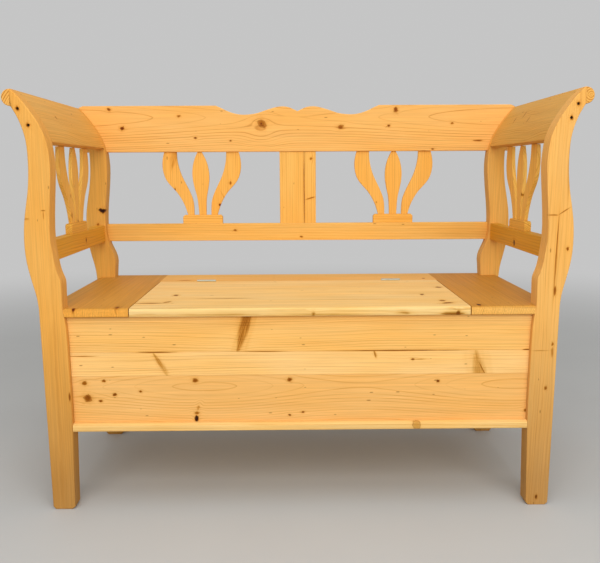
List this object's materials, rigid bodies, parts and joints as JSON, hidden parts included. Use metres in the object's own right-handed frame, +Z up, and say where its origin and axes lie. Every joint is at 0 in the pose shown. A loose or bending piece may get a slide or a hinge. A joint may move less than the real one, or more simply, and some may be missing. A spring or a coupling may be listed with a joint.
{
  "type": "settle bench",
  "caption": "Pine settle bench with S-curved arm posts, tulip-shaped splats in the back and arms, a scalloped top rail and a lidded storage chest under the seat.",
  "frame": {"origin": "on the floor, in the middle of the bench's width and depth", "axes": "+X along the seat, to the right of someone who stands in front and looks at it; +Y from the front to the back; +Z up"},
  "size_m": [1.2, 0.484, 0.9085],
  "materials": {
    "pine": "honey-coloured waxed pine, satin",
    "pale_pine": "pale waxed pine, satin",
    "deep_pine": "deeper brown waxed pine, satin",
    "plain_pine": "plain sanded pine, matt",
    "zinc_steel": "zinc-plated steel, satin",
    "dark_steel": "dark oxidised steel, matt"
  },
  "bodies": {
    "bench": {"left_front_post": "pine", "left_rear_post": "pine", "right_front_post": "pine", "right_rear_post": "pine", "left_front_upper_screw": "dark_steel", "left_front_lower_screw": "dark_steel", "left_rear_upper_screw": "dark_steel", "left_rear_lower_screw": "dark_steel", "right_front_upper_screw": "dark_steel", "right_front_lower_screw": "dark_steel", "right_rear_upper_screw": "dark_steel", "right_rear_lower_screw": "dark_steel", "left_arm_panel": "pine", "right_arm_panel": "pine", "left_arm_roll": "pine", "right_arm_roll": "pine", "left_side_rail": "pine", "right_side_rail": "pine", "left_side_splat_first_petal": "pine", "left_side_splat_middle_petal": "pine", "left_side_splat_last_petal": "pine", "left_side_splat_block": "pine", "right_side_splat_first_petal": "pine", "right_side_splat_middle_petal": "pine", "right_side_splat_last_petal": "pine", "right_side_splat_block": "pine", "top_back_rail": "pine", "lower_back_rail": "pine", "stile_left_strip": "pine", "stile_right_strip": "pine", "left_back_splat_first_petal": "pine", "left_back_splat_middle_petal": "pine", "left_back_splat_last_petal": "pine", "left_back_splat_block": "pine", "right_back_splat_first_petal": "pine", "right_back_splat_middle_petal": "pine", "right_back_splat_last_petal": "pine", "right_back_splat_block": "pine", "lower_front_board": "pine", "middle_front_board": "pine", "upper_front_board": "pine", "chest_floor": "pale_pine", "chest_back": "plain_pine", "left_chest_end": "plain_pine", "right_chest_end": "plain_pine", "left_seat_board": "deep_pine", "right_seat_board": "deep_pine", "rear_seat_strip": "pale_pine", "left_hinge_fixed_leaf": "zinc_steel", "left_hinge_pin": "zinc_steel", "right_hinge_fixed_leaf": "zinc_steel", "right_hinge_pin": "zinc_steel"},
    "lid": {"lid": "pale_pine", "left_lid_batten": "plain_pine", "right_lid_batten": "plain_pine", "left_hinge_lid_leaf": "zinc_steel", "right_hinge_lid_leaf": "zinc_steel"}
  },
  "joints": [
    {"name": "lid_hinge", "type": "hinge", "parent": "bench", "child": "lid", "pos_m": [0, 0.1245, 0.4515], "axis": [-1, 0, 0], "range_deg": [0, 105]}
  ]
}
